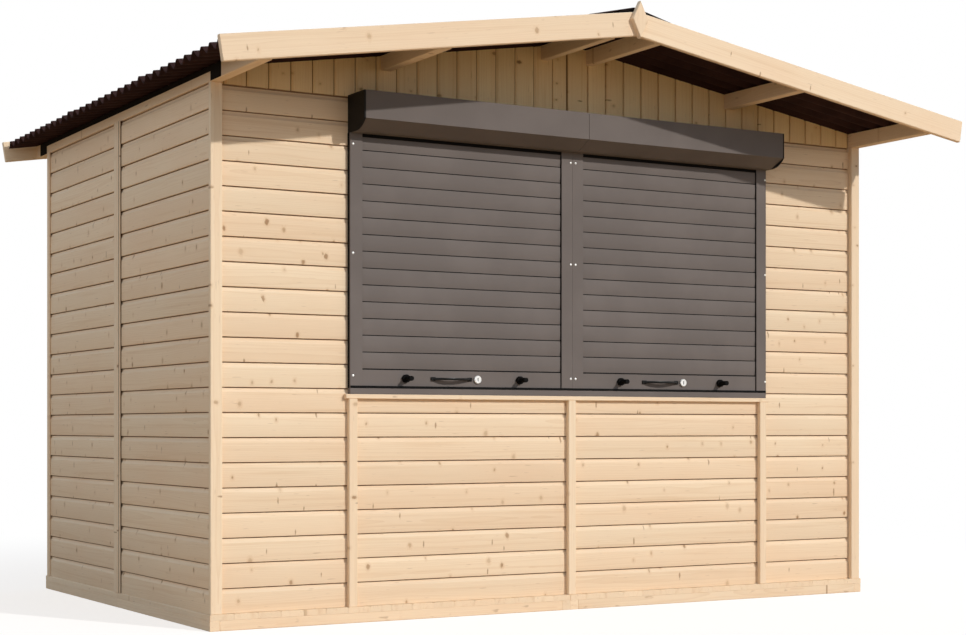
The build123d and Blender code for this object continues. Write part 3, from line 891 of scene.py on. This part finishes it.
def seals():
    """Black strips: a seal along the sill that also paints the shade of the gap under the bars; painted
    shade beside the outer guides, over each bar and in each far guide's gap; and a brush under each box
    that also paints the box's shade on the curtain.
    """
    parts = Parts("shutter_seals_and_painted_shade")
    left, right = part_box("guides_left")[0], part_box("guides_right")[1]
    wall_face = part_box("front_panel_left")[0].y
    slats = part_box("shutter_curtains")[0].y
    foot = left.z + SEAL_HEIGHT
    # a black seal along the sill, which also paints the shade of the gap under the bars
    corner = Vector((left.x + SEAL_INSET, left.y - SEAL_FORWARD, left.z))
    parts.block(corner, Vector((right.x - SEAL_INSET, left.y + SEAL_BACKWARD, foot)))
    # painted shade: thin black strips beside the outer guides, for the shade of their sides
    for x, outward in ((left.x, -1), (right.x, 1)):
        a, b = sorted((x, x + outward * SIDE_SHADE_THICKNESS))
        parts.block(Vector((a, wall_face - SIDE_SHADE_DEPTH, left.z)), Vector((b, wall_face, right.z)))
    # painted shade: a black line in the gap between each bar and its lowest slat
    for low, high in solids("bottom_bars"):
        middle = (low.y + high.y) / 2
        corner = Vector((low.x, middle - HINGE_HALF, high.z))
        parts.block(corner, Vector((high.x, middle + HINGE_HALF, high.z + BAR_GAP)))
    for node, box in (("guides_left", "shutter_box_left"), ("guides_right", "shutter_box_right")):
        near, far = solids(node)
        edge = Vector((far[0].x, slats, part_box(box)[0].z))
        # a black brush under the box, which also paints the box's shade on the curtain
        parts.block(Vector((near[1].x, slats - BRUSH_FORWARD, edge.z - BRUSH_HEIGHT)), edge)
        # painted shade: a black block in the far guide's gap
        parts.block(Vector((edge.x - GUIDE_GAP, slats - GUIDE_GAP_FORWARD, foot)), edge)
    parts.build("stop_rubber", DARK)


def side_strips():
    """Strips over the side walls' joints: a wide and a narrow one with a gap between them, and dark blocks
    of painted shade in that gap and of painted shadow on the wall beside the strip's front edge.
    """
    timber, gaps = Timber("side_strip_bars", 43), Parts("side_strip_painted_shade")
    for low, high in solids("side_strips"):
        if low.y * high.y > 0:
            timber.bar(low, high)
            continue
        split = low.y + (high.y - low.y) * STRIP_SPLIT
        start, end = split - STRIP_GAP / 2, split + STRIP_GAP / 2
        timber.bar(low, Vector((high.x, start, high.z)))
        timber.bar(Vector((low.x, end, low.z)), high)
        wall_face, outward = (high.x, -1) if low.x < 0 else (low.x, 1)
        # painted shade: a dark block nearly flush in the gap, and a painted shadow on the wall beside the
        # strip's front edge
        shadows = ((start, end, STRIP_GAP_FILL), (low.y - STRIP_SHADE, low.y, STRIP_SHADE_FILL))
        for a, b, depth in shadows:
            near, far = sorted((wall_face, wall_face + outward * depth))
            gaps.block(Vector((near, a, low.z)), Vector((far, b, high.z)))
    timber.build(nodes=["side_strips"])
    gaps.build("stop_rubber", PAINTED_GAP_SHADE)


def eave_black_bands():
    """Thin black sheet over each eave purlin's outer face, down to a hem between the corners and down to
    the purlin's foot past them.
    """
    parts = Parts("eave_black_bands")
    slope = math.tan(ROOF_PITCH)
    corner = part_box("corner_strips")
    for low, high in solids("eave_purlins"):
        outward = 1 if low.x > 0 else -1
        face = high.x if outward > 0 else low.x
        top = high.z - slope * (high.x - low.x) - BAND_BELOW_ROOF
        hem, foot = low.z + BAND_HEM, low.z + BAND_INSET
        near, far = corner[0].y - BAND_INSET, corner[1].y + BAND_INSET
        outline = [(near - BAND_PAST, foot), (near, foot), (near, hem), (far, hem), (far, foot)]
        outline += [(far + BAND_PAST, foot), (far + BAND_PAST, top), (near - BAND_PAST, top)]
        parts.prism([Vector((face, y, z)) for y, z in outline], RIGHT * outward * BAND_THICKNESS)
    parts.build("bitumen_sheet", BLACK_MATT)


def ridge_fillers():
    """Foam fillers that close the ridge cap's ends over the gap between the sheets."""
    parts = Parts("ridge_fillers")
    low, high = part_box("ridge_cap")
    half = FILLER_HALF_WIDTH
    crown = high.z - FILLER_BELOW_CAP
    foot = crown - FILLER_HEIGHT
    edge = crown - math.tan(ROOF_PITCH) * half
    outline = [(-half, foot), (half, foot), (half, edge), (0, crown), (-half, edge)]
    for y in (low.y, high.y - FILLER_THICKNESS):
        parts.prism([Vector((x, y, z)) for x, z in outline], BACK * FILLER_THICKNESS)
    parts.build("bitumen_sheet", BLACK_MATT)


def guide_rivets():
    """Pop rivets along the guides."""
    parts = Parts("guide_rivets")
    left, right = solids("guides_left"), solids("guides_right")
    places = [left[0][0].x + RIVET_INSET_LEFT, left[1][1].x - RIVET_NEAR_JOINT_LEFT]
    places += [right[0][0].x + RIVET_NEAR_JOINT_RIGHT, right[1][1].x - RIVET_INSET_RIGHT]
    front = left[0][0].y
    dome = [(height, RIVET_RADIUS * share) for height, share in RIVET_DOME]
    for x in places:
        for z in RIVET_HEIGHTS:
            parts.turned(Vector((x, front, z)), -BACK, dome, steps=12)
    parts.build("lock_metal", NICKEL)


def locks():
    """Cylinder locks: a rim, a sunk face and an upright key slot, drawn as a thin dark plate of painted
    shade.
    """
    rims, slots = Parts("shutter_lock_bodies"), Parts("lock_key_slots_painted_shade")
    for low, high in solids("shutter_locks"):
        middle = (low + high) / 2
        radius = (high.z - low.z) / 2
        depth = high.y - low.y
        origin = Vector((middle.x, high.y, middle.z))
        floor = depth - LOCK_SUNK
        rim = [(0, radius), (depth - LOCK_ARRIS, radius), (depth, radius - LOCK_ARRIS)]
        rim += [(depth, radius * LOCK_FACE), (floor, radius * LOCK_FLOOR), (floor, radius * LOCK_MIDDLE)]
        rims.turned(origin, -BACK, rim, steps=28)
        # painted shade: the key slot is a thin dark plate on the sunk face, not a hole
        front = low.y + LOCK_SUNK
        width, height = KEY_SLOT_HALF_WIDTH, KEY_SLOT_HALF_HEIGHT
        corners = ((-width, -height), (width, -height), (width, height), (-width, height))
        outline = [Vector((middle.x + x, front, middle.z + z)) for x, z in corners]
        slots.prism(outline, -BACK * KEY_SLOT_DEPTH)
    rims.build("lock_metal", NICKEL, ["shutter_locks"])
    slots.build("black_plastic", DARK)


def roof_nails():
    """Capped nails through every second crest, in rows over the purlins."""
    parts = Parts("roof_nails")
    cos, sin = math.cos(ROOF_PITCH), math.sin(ROOF_PITCH)
    carriers = solids("eave_purlins") + solids("roof_purlins")
    rows = [(low.x + high.x) / 2 for low, high in carriers]
    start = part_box("roof_sheet_right_front")[0].y
    count = int((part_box("roof_sheet_right_back")[1].y - start) / CORRUGATION)
    cap_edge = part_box("ridge_cap")[1].x
    dome = [(height, NAIL_RADIUS * share) for height, share in NAIL_DOME]
    for x in rows:
        if abs(x) < cap_edge:
            continue
        side = 1 if x > 0 else -1
        axis = Vector((side * sin, 0, cos))
        crest = crest_height(abs(x))
        for n in range(0, count, 2):
            y = start + (n + 0.5) * CORRUGATION
            parts.turned(Vector((x, y, crest)), axis, dome, steps=10)
    parts.build("bitumen_sheet", BITUMEN)


def crest_height(x):
    """Height of the sheets' crests at a distance from the ridge line."""
    low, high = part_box("roof_sheet_right_front")
    return high.z - math.tan(ROOF_PITCH) * (x - low.x)


# Finishes of the solids that stay as they are
FINISHES = {
    "bitumen_sheet": BITUMEN,
    "shutter_metal": PAINTED,
    "black_plastic": BLACK,
    "stop_rubber": RUBBER,
    "lock_metal": NICKEL,
    "spruce": SPRUCE,
    "floor_timber": FLOOR_WOOD,
}


def finish_nodes():
    """Gives every CAD node the material of its slot, and the handles their gloss."""
    for entry in frame["record"]["subparts"]:
        node = frame["nodes"][entry["node"]]
        node.data.materials.clear()
        node.data.materials.append(FINISHES[entry["material_slot"]])
    frame["nodes"]["pull_handles"].data.materials[0] = POLISHED


def ease_edges():
    """Rounds the sharp edges of the solids that stay, with modifiers."""
    for name in EASED_NODES:
        node = frame["nodes"][name]
        weld = node.modifiers.new("weld", "WELD")
        weld.merge_threshold = SAME_PLACE
        bevel = node.modifiers.new("bevel", "BEVEL")
        bevel.width = EASED
        bevel.segments = 2
        bevel.limit_method = "ANGLE"
        bevel.angle_limit = math.radians(40)


# Camera, light and floor
def camera():
    """Camera at the photograph's viewing angle."""
    data = bpy.data.cameras.new("camera")
    data.sensor_width = SENSOR_WIDTH
    data.lens = FOCAL_PIXELS / IMAGE_WIDTH * SENSOR_WIDTH
    data.shift_y = HORIZON_BELOW_MIDDLE / IMAGE_WIDTH
    viewer = bpy.data.objects.new("camera", data)
    viewer.location = CAMERA_PLACE
    viewer.rotation_euler = (math.radians(90), 0, math.radians(-CAMERA_TURN))
    bpy.context.scene.collection.objects.link(viewer)
    bpy.context.scene.camera = viewer


def sun():
    """Low sun from the right of the front."""
    data = bpy.data.lights.new("sun", "SUN")
    data.energy = SUN_STRENGTH
    data.angle = math.radians(SUN_ANGLE)
    data.color = SUN_COLOUR
    lamp = bpy.data.objects.new("sun", data)
    lamp.rotation_euler = SUN_FROM.to_track_quat("Z", "Y").to_euler()
    bpy.context.scene.collection.objects.link(lamp)


def sky():
    """Soft light all round, fuller near the horizon, and white where the camera or a gloss sees it."""
    world = bpy.data.worlds.new("studio")
    bpy.context.scene.world = world
    world.use_nodes = True
    tree = world.node_tree
    tree.nodes.clear()
    rays = tree.nodes.new("ShaderNodeLightPath")
    seen = tree.nodes.new("ShaderNodeMath")
    seen.operation = "MAXIMUM"
    tree.links.new(rays.outputs["Is Camera Ray"], seen.inputs[0])
    tree.links.new(rays.outputs["Is Glossy Ray"], seen.inputs[1])
    direction = tree.nodes.new("ShaderNodeTexCoord")
    parted = tree.nodes.new("ShaderNodeSeparateXYZ")
    tree.links.new(direction.outputs["Generated"], parted.inputs[0])
    height = tree.nodes.new("ShaderNodeMapRange")
    height.inputs["To Min"].default_value = SKY_LOW
    height.inputs["To Max"].default_value = SKY_HIGH
    tree.links.new(parted.outputs[2], height.inputs["Value"])
    light = tree.nodes.new("ShaderNodeBackground")
    light.inputs["Color"].default_value = SKY_COLOUR
    tree.links.new(height.outputs["Result"], light.inputs["Strength"])
    white = tree.nodes.new("ShaderNodeBackground")
    white.inputs["Color"].default_value = (1, 1, 1, 1)
    background = tree.nodes.new("ShaderNodeMixShader")
    tree.links.new(seen.outputs[0], background.inputs[0])
    tree.links.new(light.outputs[0], background.inputs[1])
    tree.links.new(white.outputs[0], background.inputs[2])
    output = tree.nodes.new("ShaderNodeOutputWorld")
    tree.links.new(background.outputs[0], output.inputs["Surface"])


def ground():
    """Pale floor that fades into the white background and keeps the shed's shadow."""
    mesh = bpy.data.meshes.new("studio_floor")
    reach = 60
    corners = [(-reach, -reach, 0), (reach, -reach, 0), (reach, reach, 0), (-reach, reach, 0)]
    mesh.from_pydata(corners, [], [(0, 1, 2, 3)])
    floor = bpy.data.objects.new("studio_floor", mesh)
    bpy.context.scene.collection.objects.link(floor)
    material = bpy.data.materials.new("studio_floor")
    material.use_nodes = True
    tree = material.node_tree
    tree.nodes.clear()
    bounce = tree.nodes.new("ShaderNodeBsdfDiffuse")
    bounce.inputs["Color"].default_value = FLOOR_BOUNCE
    matt = tree.nodes.new("ShaderNodeBsdfDiffuse")
    matt.inputs["Color"].default_value = FLOOR_SEEN
    glow = tree.nodes.new("ShaderNodeEmission")
    glow.inputs["Color"].default_value = FLOOR_LIFT
    near = tree.nodes.new("ShaderNodeAddShader")
    tree.links.new(matt.outputs[0], near.inputs[0])
    tree.links.new(glow.outputs[0], near.inputs[1])
    place_on_floor = tree.nodes.new("ShaderNodeTexCoord")
    distance = tree.nodes.new("ShaderNodeVectorMath")
    distance.operation = "LENGTH"
    tree.links.new(place_on_floor.outputs["Object"], distance.inputs[0])
    fade = tree.nodes.new("ShaderNodeMapRange")
    fade.interpolation_type = "SMOOTHSTEP"
    fade.inputs["From Min"].default_value = FLOOR_FADE[0]
    fade.inputs["From Max"].default_value = FLOOR_FADE[1]
    tree.links.new(distance.outputs["Value"], fade.inputs["Value"])
    white = tree.nodes.new("ShaderNodeEmission")
    seen = tree.nodes.new("ShaderNodeMixShader")
    tree.links.new(fade.outputs["Result"], seen.inputs[0])
    tree.links.new(near.outputs[0], seen.inputs[1])
    tree.links.new(white.outputs[0], seen.inputs[2])
    rays = tree.nodes.new("ShaderNodeLightPath")
    choice = tree.nodes.new("ShaderNodeMixShader")
    tree.links.new(rays.outputs["Is Camera Ray"], choice.inputs[0])
    tree.links.new(bounce.outputs[0], choice.inputs[1])
    tree.links.new(seen.outputs[0], choice.inputs[2])
    output = tree.nodes.new("ShaderNodeOutputMaterial")
    tree.links.new(choice.outputs[0], output.inputs["Surface"])
    mesh.materials.append(material)


finish_nodes()
wall("front_panel_left", -BACK, 11)
wall("front_panel_right", -BACK, 12)
wall("front_breasts", -BACK, 13)
wall("right_wall", RIGHT, 14)
wall("left_wall", -RIGHT, 15)
wall("back_wall", BACK, 16)
gable("front_gable", -BACK, 21, GABLE_PAINTED_WARM_LIGHT)
gable("back_gable", BACK, 22)
deck()
ledge()
bars("corner_strip_bars", ["corner_strips"], 41)
bars("cover_batten_bars", ["cover_battens"], 42)
side_strips()
bars("wall_frame", ["wall_studs", "wall_rails", "gable_rails"], 44)
bars("window_frame", ["window_posts", "window_lintels"], 45)
floor_frame = ["floor_joists_left", "floor_joists_right", "floor_rims"]
bars("floor_frame", floor_frame, 46, "floor_timber", FLOOR_WOOD)
purlins("eave_purlins", 51)
purlins("roof_purlins", 52)
barge_boards("barge_boards_front", 53)
barge_boards("barge_boards_back", 54)
diamonds()
shutter_slats()
seals()
eave_black_bands()
ridge_fillers()
guide_rivets()
locks()
roof_nails()
ease_edges()
camera()
sun()
sky()
ground()
bpy.context.scene.view_settings.view_transform = "Standard"
